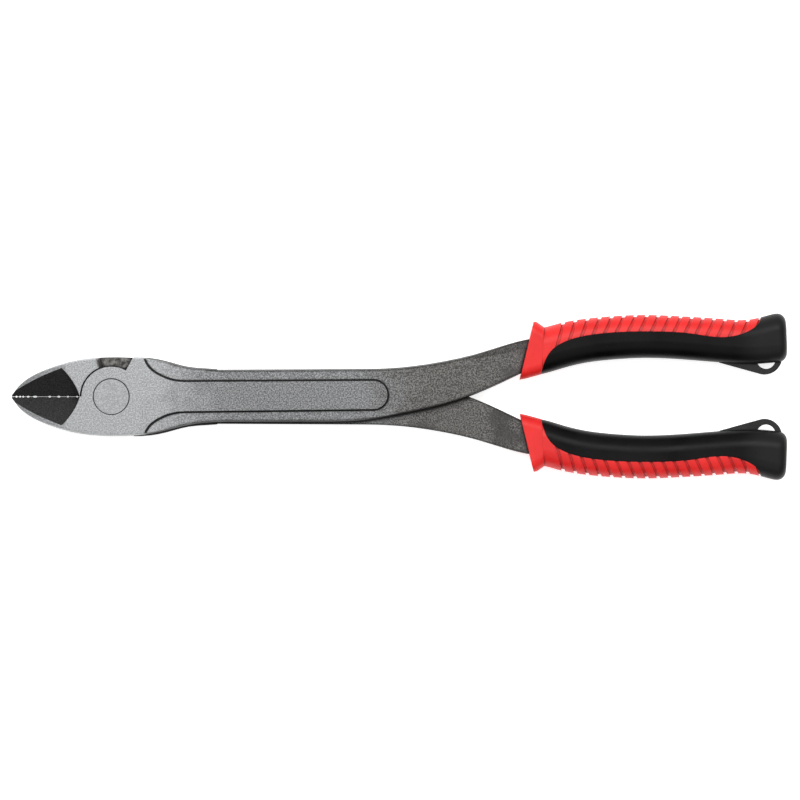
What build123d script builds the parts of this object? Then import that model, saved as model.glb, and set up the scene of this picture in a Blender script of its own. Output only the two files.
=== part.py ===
from build123d import *
import math
import os

# Long-reach diagonal cutting pliers with a riveted lap joint and two-colour grips.
#
# The two forged halves are the same forging: the rear half is the front half turned half a turn
# about the long axis. Each half's jaw is full thickness, and its boss and shank fill one side of
# the lap plane. Everything is drawn about the lap plane and lifted by one face height at the end.
#
# +X runs from the joint along the handles, +Y across the tool to the front half's handle, and +Z
# up along the pivot axis. The origin is on the pivot axis, in the plane of the joint's lower
# face. All sizes are in millimetres and degrees.

# --- Joint ---------------------------------------------------------------------------------
FACE = 6.0             # height of the joint's face over the lap plane; the joint is twice that
LAP_GAP = 0.05         # each half stands this far off the lap plane
BOSS_R = 10.8          # round boss about the pivot
BOSS_GAP = 0.5         # the other jaw's hollow clears the boss by this much
SHANK_R = 4.5          # rivet shank
HEAD_R = 6.45          # rivet head, flush with the joint's face
HEAD_DEPTH = 2.2
FIXED = 0.01           # the rivet's clearance in the rear half, which it is fixed to
RUN = 0.05             # and its running clearance in the front half
RIM_CHAMFER = 0.18     # fine groove that shows round the rivet head
STOP_ANGLE = 61.0      # the boss shoulder that ends the opening travel, from +X
JAW_STOP_ANGLE = 114.0  # the other jaw's shoulder at its face
JAW_STOP_FOOT = 106.0  # and at its foot, on the lap plane

# --- Jaws ----------------------------------------------------------------------------------
DRAFT = 6.0            # forging draft of the outside walls
EDGE_GAP = 0.05        # each cutting edge stands this far off the centre line
# silhouette of the joint: x and half-width, from the tip
HEAD_OUTLINE = [
    (-33.3, 4.3), (-29.7, 7.1), (-22.4, 10.5), (-15.2, 12.7), (-8.0, 13.9), (3.0, 14.3),
]
TIP_X = -36.45         # where the drafted walls would meet
TIP_FLAT = 0.3
BLUNT_X = -36.2        # the tip is ground blunt here
BEVEL_ANGLE = 29.0     # the ground cutting bevel, from the lap plane
THROAT = (-11.3, 0.0)
THROAT_MID = (-13.7, 5.2)
BEVEL_CORNER = (-18.3, 10.7)
# small gaps ground into the cutting edges: x of the middle and half the length
NICKS = [
    (-34.5, 0.35), (-33.2, 0.25), (-32.1, 0.3), (-30.3, 0.5), (-27.8, 0.8), (-22.5, 0.5),
    (-19.2, 0.55), (-15.9, 0.3), (-12.6, 0.25),
]
NICK_DEPTH = 0.3
# the nose thins towards the tip along this curve: x and height over the lap plane
NOSE_START = (-16.4, 6.02)
NOSE_MID = (-27.2, 3.6)
NOSE_END = (-38.0, 0.1)

# --- Shank and tang ------------------------------------------------------------------------
FLANK = 4.9            # height of the shank's flanks over the lap plane
PANEL_START = (11.8, 13.4)  # the face's edge leaves the joint's silhouette here
PANEL_HEADING = (0.3, -1)
CROWN_OVERLAP = 3.0    # the flank's cut starts this far inside the joint's face
PANEL_SHOULDER = (17.0, 7.7)
PANEL_NECK = (26.5, 5.3)
PANEL_END_X = 94.6     # centre of the raised panel's round end
PANEL_HALF_WIDTH = 5.1
PANEL_SHIFT = 0.6      # the panel runs up towards its handle by this much
GROOVE_WIDTH = 0.6     # the forged groove at the foot of the panel's wall
GROOVE_DEPTH = 0.35
# half-widths where the joint narrows into the shank, then the straight and the bend of each edge
NECK_OUTER = [(16.8, 13.6), (22.0, 12.3), (30.0, 10.6), (38.0, 10.0)]
STRAIGHT_OUTER = [(46.0, 9.85), (92.0, 10.1)]
OUTER_BEND = [(104.0, 10.6), (118.7, 12.6), (133.1, 15.9), (147.6, 20.2)]
NECK_INNER = [(16.8, 13.0), (22.0, 11.7), (30.0, 10.0), (36.0, 9.4)]
STRAIGHT_INNER = [(44.0, 9.2), (78.0, 9.15)]
INNER_BEND = [(98.6, 7.5), (112.5, 4.8), (127.3, 0.7), (137.0, -3.2), (147.6, -8.2)]
RAMP_START_X = 130.5   # the shank leaves the lap plane here and becomes the tang
RAMP_END_X = 153.0
TANG_HALF = 3.2        # half the tang's thickness inside the grip
TANG_OUTER = [(166.0, 22.6), (190.0, 24.2), (214.0, 22.4)]
TANG_INNER = [(166.0, -16.4), (190.0, -18.9), (214.0, -17.6)]
TANG_END_X = 224.0
TANG_HEADING = (1, -0.1)
FACET_START = (122.0, 13.3)  # where the flat on the outer edge begins
FACET_WIDTH = 2.6      # its width and depth at the grip
FACET_DEPTH = 1.9

# --- Grips ---------------------------------------------------------------------------------
# x and y of a section's centre, the axis's slope, the height across and the thickness
COLLAR = [
    (150.0, 16.65, -13.6, 21.7, 14.2),
    (151.6, 16.75, -11.0, 20.9, 14.1),
    (155.7, 16.65, -3.0, 17.3, 13.5),
]
BODY = [
    (155.0, 16.5, -4.0, 17.1, 13.3),
    (162.0, 18.3, 5.0, 16.3, 13.4),
    (169.0, 19.9, 9.0, 15.9, 13.4),
    (180.0, 21.2, 5.5, 15.7, 13.6),
    (193.0, 21.8, 0.0, 15.6, 13.8),
    (206.0, 21.3, -3.0, 15.6, 13.6),
    (220.0, 20.3, -3.0, 15.8, 13.6),
    (231.0, 19.9, 0.0, 16.2, 13.8),
    (238.0, 20.9, 2.0, 17.4, 14.2),
    (243.9, 21.1, 2.0, 16.8, 14.0),
]
COLLAR_CORNER = 4.2
BODY_CORNER = 6.2
LEAST_CORNER = 1.0
CORNER_MARGIN = 0.2    # a corner stays this much under half the section's width
END_ROUND = 3.2
SKIN = 1.9             # depth of the two soft colours over the hard core
CORE_START_X = 156.0
CORE_END_X = 240.5
# where the ribbed sleeve meets the smooth cover, seen from above
SEAM = [
    (154.4, 3.0), (155.9, 11.1), (158.4, 16.2), (164.0, 20.0), (172.9, 22.3), (185.3, 23.4),
    (198.3, 23.5), (209.1, 22.8), (221.3, 21.5), (228.9, 23.2), (233.0, 25.8), (235.2, 31.5),
]
RIB_COUNT = 18
RIB_PITCH = 4.15
RIB_START_X = 163.35
RIB_GROOVE = 1.15
RIB_DEPTH = 0.65
RIB_LEAN = 16.0        # the first groove leans forward by this much from square
RIB_LEAN_STEP = 2.2    # each later one by this much more
RIB_LEAN_MOST = 26.0
RIB_LINE_Y = 27.0      # the grooves' pitch is measured along this line
LOOP_HALF = 1.4        # half the tether loop's thickness
LOOP_OUTER = [(219.7, 12.3), (234.5, 8.2)]
LOOP_BEND = (239.6, 9.1)
LOOP_END = (242.3, 14.7)
LOOP_ROOT_X = 239.5    # the loop's root ends inside the core here
EYE_START = (233.2, 12.9)
EYE_MID = (237.0, 10.1)
EYE_END = (240.0, 12.9)

FAR = 70.0             # longer than anything it cuts
LIMIT = 9.0            # higher than anything it cuts


def flat(*edges):
    """The flat face inside a closed chain of edges."""
    return make_face(Curve() + list(edges))


def slab(face, low, high):
    """The flat face drawn from one height up to another."""
    return Pos(0, 0, low) * extrude(face, amount=high - low)


def polar(radius, angle):
    """The point at that radius and angle from the pivot."""
    return (radius * math.cos(math.radians(angle)), radius * math.sin(math.radians(angle)))


def ramp_prism(front_x, near_z, far_z, limit_z):
    """The room beyond a height that eases from one value on the shank to another on the tang."""
    end_x = 4 * FAR
    start, foot = (front_x, 0, near_z), (RAMP_START_X, 0, near_z)
    top, end = (RAMP_END_X, 0, far_z), (end_x, 0, far_z)
    face = flat(
        Line(start, foot),
        Spline(foot, top, tangents=[(1, 0, 0), (1, 0, 0)]),
        Line(top, end),
        Line(end, (end_x, 0, limit_z)),
        Line((end_x, 0, limit_z), (front_x, 0, limit_z)),
        Line((front_x, 0, limit_z), start),
    )
    return extrude(face, amount=FAR, dir=(0, 1, 0), both=True)


def outline(height=0.0):
    """The silhouette of a half at a height, with both sides of the joint whole.

    The walls lean in with the forging draft, so the silhouette shrinks with height.
    """
    inset = height * math.tan(math.radians(DRAFT))

    def top(points):
        return [(x, y - inset) for x, y in points]

    def low(points):
        return [(x, inset - y) for x, y in reversed(points)]

    def line_of(points):
        (x0, y0), (x1, y1) = points
        return (x1 - x0, y1 - y0)

    tip_top = (TIP_X + inset, TIP_FLAT)
    tip_low = (TIP_X + inset, -TIP_FLAT)
    straight_top, straight_low = top(STRAIGHT_OUTER), low(STRAIGHT_INNER)
    along_top, along_low = line_of(straight_top), line_of(straight_low)
    head_top, head_low = top(HEAD_OUTLINE), low(HEAD_OUTLINE)
    nose_top = line_of([tip_top, head_top[0]])
    nose_low = line_of([head_low[-1], tip_low])
    end_top, end_low = top(TANG_OUTER)[-1], low(TANG_INNER)[0]
    end = (TANG_END_X - inset, (end_top[1] + end_low[1]) / 2)
    back_heading = (-TANG_HEADING[0], -TANG_HEADING[1])
    face = flat(
        Line(tip_low, tip_top),
        Spline(tip_top, *head_top, *top(NECK_OUTER), straight_top[0], tangents=[nose_top, along_top]),
        Line(*straight_top),
        Spline(straight_top[1], *top(OUTER_BEND + TANG_OUTER), tangents=[along_top, TANG_HEADING]),
        ThreePointArc(end_top, end, end_low),
        Spline(*low(TANG_INNER), *low(INNER_BEND), straight_low[0], tangents=[back_heading, along_low]),
        Line(*straight_low),
        Spline(straight_low[1], *low(NECK_INNER), *head_low, tip_low, tangents=[along_low, nose_low]),
    )
    return Pos(0, 0, height) * face


def crown(grow=0.0):
    """The raised face of the joint and the panel that runs from it along the shank."""
    def edge(points):
        return [(x + grow, y + grow) for x, y in points]

    curve = edge([PANEL_START, PANEL_SHOULDER, PANEL_NECK])
    under = [(x, -y) for x, y in reversed(curve)]
    near, neck = curve[0], curve[-1]
    half_width = PANEL_HALF_WIDTH + grow
    end_top = (PANEL_END_X, PANEL_SHIFT + half_width)
    end_low = (PANEL_END_X, PANEL_SHIFT - half_width)
    face = flat(
        Line((-FAR, -FAR), (-FAR, FAR)),
        Line((-FAR, FAR), (near[0], FAR)),
        Line((near[0], FAR), near),
        Spline(*curve, tangents=[PANEL_HEADING, (1, 0)]),
        Line(neck, end_top),
        ThreePointArc(end_top, (PANEL_END_X + half_width, PANEL_SHIFT), end_low),
        Line(end_low, under[0]),
        Spline(*under, tangents=[(-1, 0), (-PANEL_HEADING[0], PANEL_HEADING[1])]),
        Line(under[-1], (near[0], -FAR)),
        Line((near[0], -FAR), (-FAR, -FAR)),
    )
    return slab(face, 0, LIMIT)


def panel_groove():
    """The groove that runs round the foot of the panel's wall."""
    ring = crown(GROOVE_WIDTH) - crown()
    return ring & Pos(0, 0, FLANK - GROOVE_DEPTH + LIMIT) * Box(8 * FAR, 8 * FAR, 2 * LIMIT)


def own_jaw_below():
    """The room under the lap plane that a half's own jaw fills, behind its sloping shoulder."""
    def sector(angle):
        corner = (-FAR, -EDGE_GAP)
        return make_face(Polyline(
            (0, -EDGE_GAP), corner, (-FAR, -FAR), polar(FAR, -angle), close=True))
    top = Pos(0, 0, LAP_GAP) * sector(JAW_STOP_FOOT)
    low = Pos(0, 0, -FACE) * sector(JAW_STOP_ANGLE)
    return loft([low, top], ruled=True) - Cylinder(BOSS_R + BOSS_GAP, 4 * LIMIT)


def other_jaw_above():
    """The room over the lap plane that is left for the other half's jaw."""
    face = make_face(Polyline(
        (0, -EDGE_GAP), (-FAR, -EDGE_GAP), (-FAR, FAR), polar(FAR, STOP_ANGLE),
        polar(BOSS_R / 2, STOP_ANGLE), close=True))
    return slab(face, LAP_GAP, LIMIT) - Cylinder(BOSS_R, 4 * LIMIT)


def cutting_bevel():
    """The wedge ground off one face of a jaw, up to the upright wall at the throat."""
    rise = FAR * math.tan(math.radians(BEVEL_ANGLE))
    wedge = extrude(
        make_face(Polyline((0, 0, 0), (0, -FAR, rise), (0, 0, FAR), close=True)),
        amount=-FAR, dir=(1, 0, 0))
    throat, middle, corner = [(x, -y) for x, y in (THROAT, THROAT_MID, BEVEL_CORNER)]
    reach = flat(
        ThreePointArc(throat, middle, corner),
        Line(corner, (-FAR, corner[1])),
        Line((-FAR, corner[1]), (-FAR, 0)),
        Line((-FAR, 0), throat),
    )
    return wedge & slab(reach, -1, FAR)


def edge_nicks():
    """The small gaps in the cutting edges, right through the jaw."""
    nicks = [Pos(x, 0, 0) * extrude(Ellipse(half, NICK_DEPTH), amount=LIMIT, both=True)
             for x, half in NICKS]
    return Part() + nicks


def nose_cut():
    """What is taken off one face of the nose so that it thins towards the tip."""
    start, middle, end = [(x, 0, z) for x, z in (NOSE_START, NOSE_MID, NOSE_END)]
    face = flat(
        ThreePointArc(start, middle, end),
        Line(end, (end[0], 0, LIMIT)),
        Line((end[0], 0, LIMIT), (start[0], 0, LIMIT)),
        Line((start[0], 0, LIMIT), start),
    )
    return extrude(face, amount=FAR, dir=(0, 1, 0), both=True)


def below_lap():
    """The room under a half's boss, shank and tang."""
    return ramp_prism(-FAR, LAP_GAP, -TANG_HALF, -LIMIT)


def above_flank():
    """The room over the shank's flanks and the tang."""
    return ramp_prism(PANEL_START[0] - CROWN_OVERLAP, FLANK, TANG_HALF, LIMIT)


def outer_facet():
    """The room over the flat that widens along the shank's outer edge to the grip."""
    edge_x, edge_y = OUTER_BEND[-1]
    start = Vector(FACET_START[0], FACET_START[1], FLANK)
    inner = Vector(edge_x, edge_y - FACET_WIDTH, TANG_HALF)
    outer = Vector(edge_x, edge_y, TANG_HALF - FACET_DEPTH)
    normal = (outer - inner).cross(start - inner).normalized()
    if normal.Z < 0:
        normal = -normal
    plane = Plane(origin=start, z_dir=normal)
    box = Pos(0, 0, FAR / 2) * Box(2 * FAR, 2 * FAR, FAR)
    return plane * box & Pos(edge_x, edge_y, 0) * Box(2 * (edge_x - FACET_START[0]), FAR, FAR)


def bore(clearance):
    """The rivet's counterbored hole through one half's plate."""
    hole = Cylinder(SHANK_R + clearance, 4 * FACE)
    seat = Pos(0, 0, FACE - HEAD_DEPTH - clearance) * extrude(
        Circle(HEAD_R + clearance), amount=LIMIT)
    rim = Pos(0, 0, FACE - RIM_CHAMFER) * Cone(
        HEAD_R + clearance, HEAD_R + clearance + 2 * RIM_CHAMFER, 2 * RIM_CHAMFER,
        align=(Align.CENTER, Align.CENTER, Align.MIN))
    return hole + seat + rim


def forged_half(clearance):
    """One half with its jaw on the -Y side and its handle on the +Y side."""
    upper = loft([outline(), outline(FACE)], ruled=True)
    blank = upper + mirror(upper, about=Plane.XY)
    half = blank - (above_flank() - crown())
    half -= other_jaw_above()
    half -= below_lap() - own_jaw_below()
    bevel = cutting_bevel()
    nose = nose_cut()
    half -= bevel
    half -= mirror(bevel, about=Plane.XY)
    half -= nose
    half -= mirror(nose, about=Plane.XY)
    half -= x_band(-FAR, BLUNT_X)
    half -= edge_nicks()
    half -= panel_groove()
    half -= outer_facet()
    half -= bore(clearance)
    return half


def rivet():
    """The rivet, with a head flush in each face of the joint."""
    shank = Cylinder(SHANK_R, 2 * FACE)
    head = Pos(0, 0, FACE - HEAD_DEPTH) * extrude(Circle(HEAD_R), amount=HEAD_DEPTH)
    head = chamfer(head.edges().sort_by(Axis.Z)[-1], RIM_CHAMFER)
    return shank + head + mirror(head, about=Plane.XY)


def section(x, y, slope, height, thickness, corner, inset=0.0):
    """One rounded cross-section of a grip, drawn in by the inset."""
    direction = Vector(math.cos(math.radians(slope)), math.sin(math.radians(slope)), 0)
    across = Vector(-direction.Y, direction.X, 0)
    plane = Plane(origin=(x, y, 0), x_dir=across, z_dir=direction)
    width, depth = height - 2 * inset, thickness - 2 * inset
    radius = min(max(corner - inset, LEAST_CORNER), min(width, depth) / 2 - CORNER_MARGIN)
    return plane * RectangleRounded(width, depth, radius)


def grip_body(inset=0.0):
    """The grip behind its collar as one lofted solid."""
    return loft([section(*row, BODY_CORNER, inset) for row in BODY])


def collar():
    """The flared collar at the front of a grip."""
    return loft([section(*row, COLLAR_CORNER) for row in COLLAR], ruled=True)


def x_band(low, high):
    """All the room between two x positions."""
    return Pos((low + high) / 2, 0, 0) * Box(high - low, 2 * FAR, 2 * FAR)


def loop_plate():
    """The flat tether loop with its eye."""
    root_y = BODY[-1][1]
    inside = (LOOP_OUTER[0][0], root_y)
    root = (LOOP_ROOT_X, root_y)
    face = flat(
        Line(inside, LOOP_OUTER[0]),
        Line(*LOOP_OUTER),
        ThreePointArc(LOOP_OUTER[1], LOOP_BEND, LOOP_END),
        Line(LOOP_END, root),
        Line(root, inside),
    )
    eye = flat(ThreePointArc(EYE_START, EYE_MID, EYE_END), Line(EYE_END, EYE_START))
    return slab(face - eye, -LOOP_HALF, LOOP_HALF)


def rib_grooves():
    """The slanted grooves between the sleeve's ribs, all of one depth."""
    bars = []
    for index in range(RIB_COUNT):
        lean = min(RIB_LEAN + index * RIB_LEAN_STEP, RIB_LEAN_MOST)
        bar = Rot(0, 0, -lean) * Box(RIB_GROOVE, FAR, FAR)
        bars.append(Pos(RIB_START_X + index * RIB_PITCH, RIB_LINE_Y, 0) * bar)
    return (Part() + bars) & x_band(BODY[0][0], 2 * FAR + RIB_START_X) - grip_body(RIB_DEPTH)


def sleeve_side():
    """The room on the ribbed sleeve's side of the seam."""
    seam = Spline(*SEAM)
    first, last = SEAM[0], SEAM[-1]
    low_y = -FAR / 4
    front_x = COLLAR[0][0] - FAR / 4
    face = flat(
        seam,
        Line(last, (last[0], FAR)),
        Line((last[0], FAR), (front_x, FAR)),
        Line((front_x, FAR), (front_x, low_y)),
        Line((front_x, low_y), (first[0], low_y)),
        Line((first[0], low_y), first),
    )
    return slab(face, -FAR, FAR)


def grip(tang):
    """The core, the sleeve and the cover that stand on one half's tang."""
    body = grip_body()
    rounded = fillet(body.faces().sort_by(Axis.X)[-1].edges(), END_ROUND)
    core = grip_body(SKIN) & x_band(CORE_START_X, CORE_END_X)
    plate = loop_plate()
    hard = core + plate - tang
    skin = rounded - core - plate
    ahead = sleeve_side()
    sleeve = (skin & ahead) + (collar() & ahead) - core - tang - plate
    sleeve -= rib_grooves() - collar()
    cover = skin - ahead - tang
    return hard, sleeve, cover


front_half = forged_half(RUN)
rear_half = Rot(180, 0, 0) * forged_half(FIXED)
core, sleeve, cover = grip(front_half)
turned = Rot(180, 0, 0)
parts = {
    "front_half": front_half,
    "rear_half": rear_half,
    "pivot_rivet": rivet(),
    "upper_grip_core": core,
    "upper_grip_sleeve": sleeve,
    "upper_grip_cover": cover,
    "lower_grip_core": turned * core,
    "lower_grip_sleeve": turned * sleeve,
    "lower_grip_cover": turned * cover,
}

os.makedirs("parts", exist_ok=True)
for name, shape in parts.items():
    export_step(Pos(0, 0, FACE) * shape, f"parts/{name}.step")
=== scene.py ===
"""Long-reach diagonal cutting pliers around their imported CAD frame."""

import bpy
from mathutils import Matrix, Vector


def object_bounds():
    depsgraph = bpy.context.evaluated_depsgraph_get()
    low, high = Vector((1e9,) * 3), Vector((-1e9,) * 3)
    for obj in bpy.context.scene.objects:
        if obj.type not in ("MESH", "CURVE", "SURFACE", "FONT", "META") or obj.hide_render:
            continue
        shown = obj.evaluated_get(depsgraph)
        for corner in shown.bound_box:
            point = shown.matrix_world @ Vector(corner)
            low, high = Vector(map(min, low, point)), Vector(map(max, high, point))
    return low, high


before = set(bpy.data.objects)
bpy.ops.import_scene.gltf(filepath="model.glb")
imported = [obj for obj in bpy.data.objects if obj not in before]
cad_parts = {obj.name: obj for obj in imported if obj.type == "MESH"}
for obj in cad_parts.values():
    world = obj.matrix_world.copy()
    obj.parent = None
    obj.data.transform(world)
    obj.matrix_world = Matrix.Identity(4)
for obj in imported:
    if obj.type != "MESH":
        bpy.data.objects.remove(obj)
CAD_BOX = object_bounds()

MM = 0.001
LAP_Z = 6 * MM               # the lap plane over the origin
CAMERA_AT = (104.2 * MM, -1.2 * MM)
CAMERA_DISTANCE = 2.4
VIEW_WIDTH = 289.4 * MM
SENSOR_WIDTH = 36.0
FLOOR_HALF = 3.0
FLOOR_GLOW = 0.70

# darkest and lightest grey of the blasted steel on the joint, the shank and near the grips; the steel
# grows darker from the joint to the grips with painted shade, where the lamp's reflection fades
HEAD_LIT_TONE = (0.235, 0.43)
SHANK_TONE = (0.092, 0.295)
TAIL_SHADED_TONE = (0.040, 0.176)
STAIN_TONE = 0.052
NOTCH_TONE = (0.03, 0.19)    # the rough scale in the notch behind each jaw
GROUND_TONE = (0.016, 0.060)  # the ground cutting bevels
CUTTING_EDGE_GLINT_TONE = (0.03, 0.30)     # and the painted highlight along their cutting edges
PAINTED_SHADE_TONE = 0.012           # painted shade on steep walls, in corners and grooves and along the shank's outline
# lighter edges on the joint, part wear and part painted highlight
WORN_AND_GLINT_TONE = 0.62
RIVET_GROOVE_SHADE_TONE = 0.12              # painted shade in the groove round the rivet
RUBBER_TONE = (0.0016, 0.0040)
DUST_TONE = 0.018
# painted sheen on the ends of the black covers
GRIP_END_SHEEN_TONE = 0.016
CORE_TONE = (0.012, 0.022)
FLOOR_TONE = (0.93, 0.96)
RED_DARK = (0.72, 0.012, 0.011, 1.0)
RED_LIGHT = (0.82, 0.018, 0.016, 1.0)
# painted shade down in the sleeve's grooves
RED_GROOVE_SHADE = (0.28, 0.005, 0.007, 1.0)
# the sleeve's lighter rib edges, part wear and part painted highlight
RED_WORN_AND_GLINT = (0.85, 0.10, 0.09, 1.0)
STEEL_METAL = 0.85
SPECKLE_SCALE = 2000.0
GRAIN_SCALE = 2300.0
NOISE_SPAN = (0.3, 0.7)      # where most values of a noise lie

# each lamp's place, size and power; the sky's brightest direction and its two strengths
KEY_LAMP = ((0.10, 0.45, 1.1), (1.2, 0.5), 9.0)
FILL_LAMP = ((0.10, -0.70, 0.90), (1.2, 0.7), 2.0)
SKY_HIGH = (0.0, 0.50, 0.866)
SKY_FADE = (0.05, 0.95)
SKY_STRENGTH = (0.05, 0.80)
SKY_SEEN = 0.95              # the sky's strength where the camera sees it

# places on the tool, each as the two ends of a fade
# where the painted shade along the steel steps darker towards the grips
SHANK_SHADE_FADE = (8 * MM, 44 * MM)
TAIL_SHADE_FADE = (86 * MM, 114 * MM)
STAIN_FADE = (92 * MM, 116 * MM)
NOTCH_FLOOR = (0.8 * MM, 1.3 * MM)
NOTCH_ROOF = (10.7 * MM, 11.2 * MM)
NOTCH_FRONT = (-9.2 * MM, -8.8 * MM)
NOTCH_BACK = (9.4 * MM, 9.8 * MM)
THROAT_FADE = (-10.4 * MM, -10.2 * MM)
# the strip along the cutting edges that holds a painted highlight
CUTTING_EDGE = (0.10 * MM, 0.30 * MM)
# where painted shade on walls and along the outline starts, and the raised panel that the outline leaves
# out
WALL_FADE = (10 * MM, 14 * MM)
PANEL_SIDE = (7.0 * MM, 7.6 * MM)
PANEL_END = (102 * MM, 104 * MM)
OUTLINE_FADE = (14 * MM, 24 * MM)
# where the joint's edges, worn and with painted highlight, end
WEAR_AND_GLINT_FADE = (-8 * MM, 6 * MM)
# the groove round the rivet that holds painted shade
RIVET_RIM = (6.22 * MM, 6.36 * MM)
# where the painted sheen on the covers' ends begins
GRIP_END_SHEEN_FADE = (224 * MM, 236 * MM)


# --- Node helpers ----------------------------------------------------------------------------
class Nodes:
    """A material's node tree, with short calls for the nodes used here."""

    def __init__(self, name):
        self.material = bpy.data.materials.new(name)
        self.material.use_nodes = True
        self.tree = self.material.node_tree
        self.shader = self.tree.nodes["Principled BSDF"]
        self.place = self.add("ShaderNodeTexCoord").outputs["Object"]

    def add(self, kind, **settings):
        node = self.tree.nodes.new(kind)
        for key, value in settings.items():
            setattr(node, key, value)
        return node

    def put(self, socket, value):
        if isinstance(value, bpy.types.NodeSocket):
            self.tree.links.new(value, socket)
        else:
            socket.default_value = value

    def math(self, operation, a, b=0.0):
        node = self.add("ShaderNodeMath", operation=operation)
        self.put(node.inputs[0], a)
        self.put(node.inputs[1], b)
        return node.outputs[0]

    def noise(self, scale, detail=3.0, roughness=0.55):
        node = self.add("ShaderNodeTexNoise")
        self.put(node.inputs["Vector"], self.place)
        node.inputs["Scale"].default_value = scale
        node.inputs["Detail"].default_value = detail
        node.inputs["Roughness"].default_value = roughness
        return node.outputs["Fac"]

    def cells(self, scale):
        node = self.add("ShaderNodeTexVoronoi")
        self.put(node.inputs["Vector"], self.place)
        node.inputs["Scale"].default_value = scale
        return node.outputs["Distance"]

    def ramp(self, value, low, high, to_low=0.0, to_high=1.0):
        node = self.add("ShaderNodeMapRange")
        node.interpolation_type = "SMOOTHSTEP"
        self.put(node.inputs["Value"], value)
        ends = {"From Min": low, "From Max": high, "To Min": to_low, "To Max": to_high}
        for name, number in ends.items():
            node.inputs[name].default_value = number
        return node.outputs["Result"]

    def mix(self, factor, a, b):
        node = self.add("ShaderNodeMix", data_type="RGBA")
        self.put(node.inputs["Factor"], factor)
        self.put(node.inputs["A"], a)
        self.put(node.inputs["B"], b)
        return node.outputs["Result"]

    def parts_of(self, vector):
        node = self.add("ShaderNodeSeparateXYZ")
        self.put(node.inputs[0], vector)
        return node.outputs

    def bump(self, height, strength, distance, normal=None):
        node = self.add("ShaderNodeBump")
        self.put(node.inputs["Height"], height)
        node.inputs["Strength"].default_value = strength
        node.inputs["Distance"].default_value = distance
        if normal:
            self.put(node.inputs["Normal"], normal)
        return node.outputs[0]

    def shade(self, distance):
        node = self.add("ShaderNodeAmbientOcclusion", samples=8)
        node.inputs["Distance"].default_value = distance
        return node.outputs["AO"]

    def rounded(self, radius):
        node = self.add("ShaderNodeBevel", samples=4)
        node.inputs["Radius"].default_value = radius
        return node.outputs[0]

    def set(self, **sockets):
        for name, value in sockets.items():
            self.put(self.shader.inputs[name.replace("_", " ")], value)
        return self.material


def grey(value, warmth=0.0):
    return (value * (1 + warmth), value, value * (1 - warmth), 1.0)


def cool(value):
    return grey(value, -0.02)


def warm(value):
    return grey(value, 0.04)


# --- Materials -------------------------------------------------------------------------------
def edge_shade(n, radius, low, high):
    """How near a point is to a sharp edge: 1 on it, 0 away from it."""
    true_normal = n.add("ShaderNodeNewGeometry").outputs["True Normal"]
    turned = n.add("ShaderNodeVectorMath", operation="DOT_PRODUCT")
    n.put(turned.inputs[0], n.rounded(radius))
    n.put(turned.inputs[1], true_normal)
    return n.ramp(turned.outputs["Value"], low, high, 1.0, 0.0)


def blasted_tone_with_painted_shade(n, x, blotch):
    """Speckled grey that gets browner from the joint to the grips, and darker with painted shade where the
    lamp's reflection fades along the tool.
    """
    stain = n.noise(60.0, 3.0, 0.6)
    speckle = n.ramp(n.noise(SPECKLE_SCALE, 4.0, 0.7), 0.40, 0.64)
    joint = n.mix(speckle, *map(cool, HEAD_LIT_TONE))
    shank = n.mix(speckle, *map(cool, SHANK_TONE))
    tail = n.mix(speckle, *map(warm, TAIL_SHADED_TONE))
    along = n.math("ADD", x, n.ramp(blotch, *NOISE_SPAN, -5 * MM, 5 * MM))
    # painted shade: the grey steps darker from the joint to the shank and on to the grips
    colour = n.mix(n.ramp(along, *SHANK_SHADE_FADE), joint, shank)
    colour = n.mix(n.ramp(along, *TAIL_SHADE_FADE), colour, tail)
    stained = n.math("MULTIPLY", n.ramp(stain, 0.48, 0.62, 0.0, 0.75), n.ramp(x, *STAIN_FADE))
    return n.mix(stained, colour, warm(STAIN_TONE))


def notch_scale(n, colour, x, z, tilt):
    """Rough dark scale in the notch behind each jaw and on the lap surfaces that show in it."""
    level = n.math("MULTIPLY", n.ramp(z, *NOTCH_ROOF, 1.0, 0.0), n.ramp(z, *NOTCH_FLOOR))
    in_joint = n.math("MULTIPLY", n.ramp(x, *NOTCH_FRONT), n.ramp(x, *NOTCH_BACK, 1.0, 0.0))
    not_side = n.ramp(tilt, 0.75, 0.85, 1.0, 0.0)
    notch = n.math("MULTIPLY", n.math("MULTIPLY", level, in_joint), not_side)
    rough_scale = n.mix(n.ramp(n.noise(700.0, 4.0, 0.7), 0.35, 0.7), *map(warm, NOTCH_TONE))
    return n.mix(notch, colour, rough_scale)


def ground_bevels(n, colour, x, away, tilt, up, grain):
    """The dark ground cutting bevels, told from the rest of the jaw by which way they face, with a painted
    highlight along their cutting edges.
    """
    bevel = n.math("MULTIPLY", n.ramp(tilt, 0.40, 0.44), n.ramp(up, 0.80, 0.84))
    bevel = n.math("MULTIPLY", bevel, n.ramp(x, *THROAT_FADE, 1.0, 0.0))
    ground = n.mix(n.ramp(grain, 0.3, 0.72), *map(grey, GROUND_TONE))
    # a painted highlight along the cutting edges
    edge_glint = n.mix(n.ramp(n.noise(1500.0, 2.0, 0.6), 0.5, 0.7), *map(grey, CUTTING_EDGE_GLINT_TONE))
    ground = n.mix(n.ramp(away, *CUTTING_EDGE, 1.0, 0.0), ground, edge_glint)
    return n.mix(bevel, colour, ground)


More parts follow.
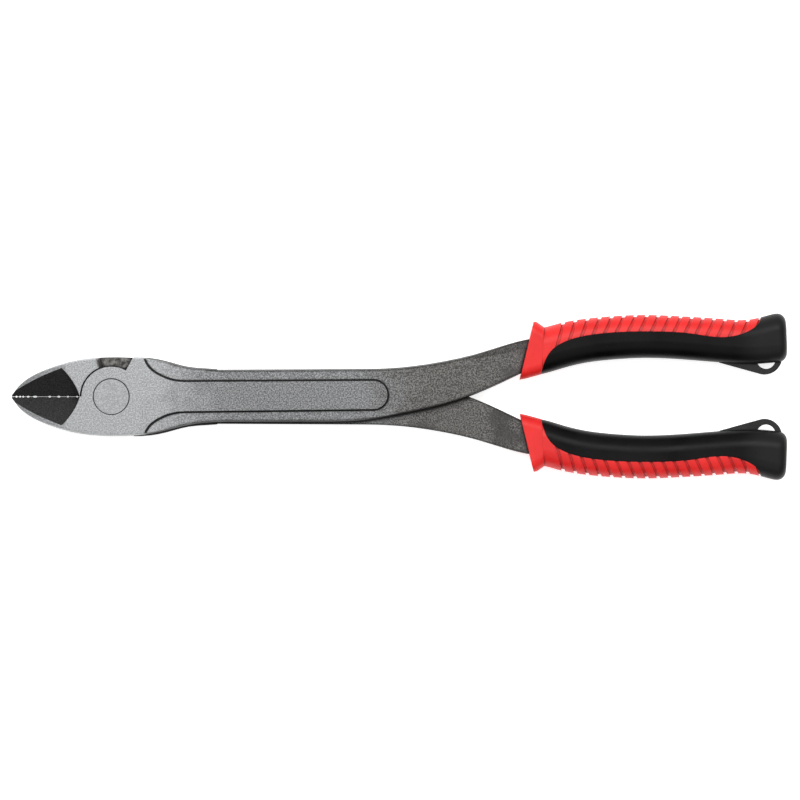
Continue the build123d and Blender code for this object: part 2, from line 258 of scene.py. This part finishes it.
def painted_shade_places(n, x, away, up, edge):
    """How much painted shade falls on steep walls, in corners and grooves and along the shank's outline.
    """
    wall = n.math("MULTIPLY", n.ramp(up, 0.35, 0.80, 0.94, 0.0), n.ramp(x, *WALL_FADE))
    corner = n.ramp(n.shade(1.4 * MM), 0.58, 0.97, 0.98, 0.0)
    outside_panel = n.math("MAXIMUM", n.ramp(away, *PANEL_SIDE), n.ramp(x, *PANEL_END))
    outline = n.math("MULTIPLY", edge_shade(n, 1.3 * MM, 0.92, 0.99), outside_panel)
    outline = n.math("MAXIMUM", outline, n.math("MULTIPLY", edge, 0.6))
    outline = n.math("MULTIPLY", outline, n.ramp(x, *OUTLINE_FADE))
    return n.math("MAXIMUM", n.math("MAXIMUM", wall, corner), outline)


def forged_steel():
    """Shot-blasted forged steel with ground bevels, painted shade on walls, in corners and along the
    outline, and edges on the joint lightened by wear and a painted highlight.
    """
    n = Nodes("forged_steel")
    x, y, z = n.parts_of(n.place)
    away = n.math("ABSOLUTE", y)
    facing = n.parts_of(n.add("ShaderNodeNewGeometry").outputs["True Normal"])
    tilt = n.math("ABSOLUTE", facing["Y"])
    up = n.math("ABSOLUTE", facing["Z"])
    grain = n.noise(GRAIN_SCALE, 4.0, 0.7)
    blotch = n.noise(150.0, 4.0, 0.6)
    edge = edge_shade(n, 0.30 * MM, 0.90, 0.995)
    painted_shade = painted_shade_places(n, x, away, up, edge)
    colour = blasted_tone_with_painted_shade(n, x, blotch)
    colour = notch_scale(n, colour, x, z, tilt)
    colour = ground_bevels(n, colour, x, away, tilt, up, grain)
    # painted shade on steep walls, in corners and grooves and along the outline
    colour = n.mix(painted_shade, colour, warm(PAINTED_SHADE_TONE))
    # lighter edges on the joint: part wear, part painted highlight where the rounded edges catch the light
    worn_and_glint = n.math("MULTIPLY", edge, n.ramp(blotch, 0.42, 0.6, 0.0, 0.45))
    worn_and_glint = n.math("MULTIPLY", worn_and_glint, n.ramp(x, *WEAR_AND_GLINT_FADE, 1.0, 0.0))
    colour = n.mix(worn_and_glint, colour, cool(WORN_AND_GLINT_TONE))
    rough = n.math("ADD", n.ramp(grain, *NOISE_SPAN, 0.36, 0.54), n.ramp(blotch, *NOISE_SPAN, -0.04, 0.04))
    height = n.math("ADD", grain, n.math("MULTIPLY", n.cells(1500.0), 0.5))
    shaped = n.bump(height, 0.35, 0.05 * MM, n.rounded(0.30 * MM))
    # where shade is painted, the steel loses its metal shine so that it stays dark
    return n.set(Base_Color=colour, Metallic=n.ramp(painted_shade, 0.0, 0.9, STEEL_METAL, 0.05), Roughness=rough,
                 Specular_IOR_Level=n.ramp(painted_shade, 0.0, 0.9, 0.5, 0.10), Normal=shaped)


def rivet_steel():
    """The ground rivet, with faint turning marks and painted shade in the groove at its rim."""
    n = Nodes("rivet_steel")
    x, y, _ = n.parts_of(n.place)
    radius = n.math("SQRT", n.math("ADD", n.math("MULTIPLY", x, x), n.math("MULTIPLY", y, y)))
    grain = n.noise(GRAIN_SCALE, 4.0, 0.7)
    # the rivet takes the joint's grey, with the same painted light as the head
    colour = n.mix(n.ramp(grain, 0.38, 0.68), cool(HEAD_LIT_TONE[0]), cool(HEAD_LIT_TONE[1] * 0.97))
    # painted shade in the groove round the rivet
    colour = n.mix(n.ramp(radius, *RIVET_RIM), colour, grey(RIVET_GROOVE_SHADE_TONE))
    rings = n.math("SINE", n.math("MULTIPLY", radius, 9000.0))
    height = n.math("ADD", grain, n.math("MULTIPLY", rings, 0.15))
    shaped = n.bump(height, 0.3, 0.05 * MM, n.rounded(0.12 * MM))
    return n.set(Base_Color=colour, Metallic=STEEL_METAL, Roughness=n.ramp(grain, *NOISE_SPAN, 0.36, 0.52),
                 Normal=shaped)


def red_plastic():
    """The ribbed red sleeve: moulded, slightly waxy, with painted shade down in its grooves."""
    n = Nodes("red_sleeve")
    grain = n.noise(1800.0, 3.0, 0.6)
    blotch = n.noise(90.0, 3.0, 0.5)
    colour = n.mix(n.ramp(blotch, *NOISE_SPAN), RED_DARK, RED_LIGHT)
    # painted shade down in the grooves
    groove_shade = n.ramp(n.shade(1.6 * MM), 0.45, 0.95, 0.62, 0.0)
    colour = n.mix(groove_shade, colour, RED_GROOVE_SHADE)
    # lighter rib edges: part wear, part painted highlight
    worn_and_glint = n.math("MULTIPLY", edge_shade(n, 0.22 * MM, 0.90, 0.99), 0.35)
    colour = n.mix(worn_and_glint, colour, RED_WORN_AND_GLINT)
    shaped = n.bump(grain, 0.25, 0.04 * MM, n.rounded(0.20 * MM))
    return n.set(Base_Color=colour, Roughness=n.ramp(blotch, *NOISE_SPAN, 0.42, 0.52), Normal=shaped,
                 Specular_IOR_Level=0.35)


def black_rubber():
    """The smooth black cover, a soft satin rubber with a fine moulded grain, and a painted sheen towards
    the grip end.
    """
    n = Nodes("black_cover")
    grain = n.cells(2400.0)
    fine = n.noise(3600.0, 3.0, 0.6)
    blotch = n.noise(70.0, 3.0, 0.5)
    dust = n.ramp(n.noise(420.0, 5.0, 0.75), 0.60, 0.74, 0.0, 0.35)
    colour = n.mix(n.ramp(blotch, *NOISE_SPAN), *map(grey, RUBBER_TONE))
    colour = n.mix(dust, colour, grey(DUST_TONE))
    # painted sheen towards the end of each cover
    colour = n.mix(n.ramp(n.parts_of(n.place)["X"], *GRIP_END_SHEEN_FADE, 0.0, 0.8), colour, grey(GRIP_END_SHEEN_TONE))
    height = n.math("ADD", n.math("MULTIPLY", grain, 0.6), fine)
    shaped = n.bump(height, 0.3, 0.05 * MM, n.rounded(0.3 * MM))
    return n.set(Base_Color=colour, Roughness=n.ramp(blotch, *NOISE_SPAN, 0.30, 0.42), Normal=shaped,
                 Specular_IOR_Level=0.10)


def hard_core():
    """The hard dark core that shows as the tether loop."""
    n = Nodes("hard_core")
    grain = n.noise(2000.0, 3.0, 0.6)
    blotch = n.noise(110.0, 3.0, 0.5)
    colour = n.mix(n.ramp(blotch, *NOISE_SPAN), *map(grey, CORE_TONE))
    shaped = n.bump(grain, 0.3, 0.04 * MM, n.rounded(0.3 * MM))
    return n.set(Base_Color=colour, Roughness=n.ramp(grain, *NOISE_SPAN, 0.55, 0.68), Normal=shaped,
                 Specular_IOR_Level=0.25)


def floor_white():
    """The pale sheet that the tool lies on."""
    n = Nodes("floor_white")
    fibre = n.noise(60.0, 3.0, 0.5)
    colour = n.mix(fibre, *map(grey, FLOOR_TONE))
    return n.set(Base_Color=colour, Roughness=0.9, Normal=n.bump(fibre, 0.05, 0.1 * MM),
                 Emission_Color=grey(1.0), Emission_Strength=FLOOR_GLOW)


def dress_frame():
    """Puts the finished materials on the CAD nodes."""
    steel, plastic, rubber, core = forged_steel(), red_plastic(), black_rubber(), hard_core()
    finishes = {"front_half": steel, "rear_half": steel, "pivot_rivet": rivet_steel()}
    for side in ("upper", "lower"):
        finishes[f"{side}_grip_core"] = core
        finishes[f"{side}_grip_sleeve"] = plastic
        finishes[f"{side}_grip_cover"] = rubber
    for name, material in finishes.items():
        for part_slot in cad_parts[name].material_slots:
            part_slot.material = material


# --- Stage -----------------------------------------------------------------------------------
def add_floor():
    """A flat sheet under the lowest point of the tool."""
    lowest = CAD_BOX[0][2]
    half = FLOOR_HALF
    mesh = bpy.data.meshes.new("floor")
    mesh.from_pydata([(-half, -half, lowest), (half, -half, lowest), (half, half, lowest),
                      (-half, half, lowest)], [], [(0, 1, 2, 3)])
    floor = bpy.data.objects.new("floor", mesh)
    bpy.context.scene.collection.objects.link(floor)
    mesh.materials.append(floor_white())


def add_area_light(name, place, size, power):
    """One soft rectangular lamp that faces the middle of the tool."""
    data = bpy.data.lights.new(name, "AREA")
    data.shape = "RECTANGLE"
    data.size, data.size_y = size
    data.energy = power
    light = bpy.data.objects.new(name, data)
    light.location = place
    aim = Vector((*CAMERA_AT, LAP_Z)) - light.location
    light.rotation_euler = aim.to_track_quat("-Z", "Y").to_euler()
    bpy.context.scene.collection.objects.link(light)


def add_light():
    """A soft tent: brightest overhead and on the far side, dark towards the horizon."""
    world = bpy.data.worlds.new("studio")
    world.use_nodes = True
    tree = world.node_tree
    background = tree.nodes["Background"]
    place = tree.nodes.new("ShaderNodeTexCoord")
    high = tree.nodes.new("ShaderNodeVectorMath")
    high.operation = "DOT_PRODUCT"
    high.inputs[1].default_value = SKY_HIGH
    shade = tree.nodes.new("ShaderNodeMapRange")
    shade.interpolation_type = "SMOOTHSTEP"
    ends = zip(("From Min", "From Max", "To Min", "To Max"), (*SKY_FADE, *SKY_STRENGTH))
    for name, number in ends:
        shade.inputs[name].default_value = number
    seen = tree.nodes.new("ShaderNodeLightPath")
    final = tree.nodes.new("ShaderNodeMix")
    final.data_type = "FLOAT"
    final.inputs["B"].default_value = SKY_SEEN
    tree.links.new(place.outputs["Generated"], high.inputs[0])
    tree.links.new(high.outputs["Value"], shade.inputs["Value"])
    tree.links.new(seen.outputs["Is Camera Ray"], final.inputs["Factor"])
    tree.links.new(shade.outputs["Result"], final.inputs["A"])
    tree.links.new(final.outputs["Result"], background.inputs["Strength"])
    background.inputs["Color"].default_value = (1.0, 1.0, 1.0, 1.0)
    bpy.context.scene.world = world
    add_area_light("key", *KEY_LAMP)
    add_area_light("fill", *FILL_LAMP)


def add_camera():
    """Looks straight down the pivot axis from far off, as wide as the tool needs."""
    data = bpy.data.cameras.new("camera")
    data.sensor_width = SENSOR_WIDTH
    data.lens = data.sensor_width * CAMERA_DISTANCE / VIEW_WIDTH
    data.clip_end = 20.0
    camera = bpy.data.objects.new("camera", data)
    camera.location = (*CAMERA_AT, CAMERA_DISTANCE + LAP_Z)
    bpy.context.scene.collection.objects.link(camera)
    bpy.context.scene.camera = camera


bpy.context.scene.view_settings.view_transform = "Standard"
add_camera()
add_light()
add_floor()
dress_frame()
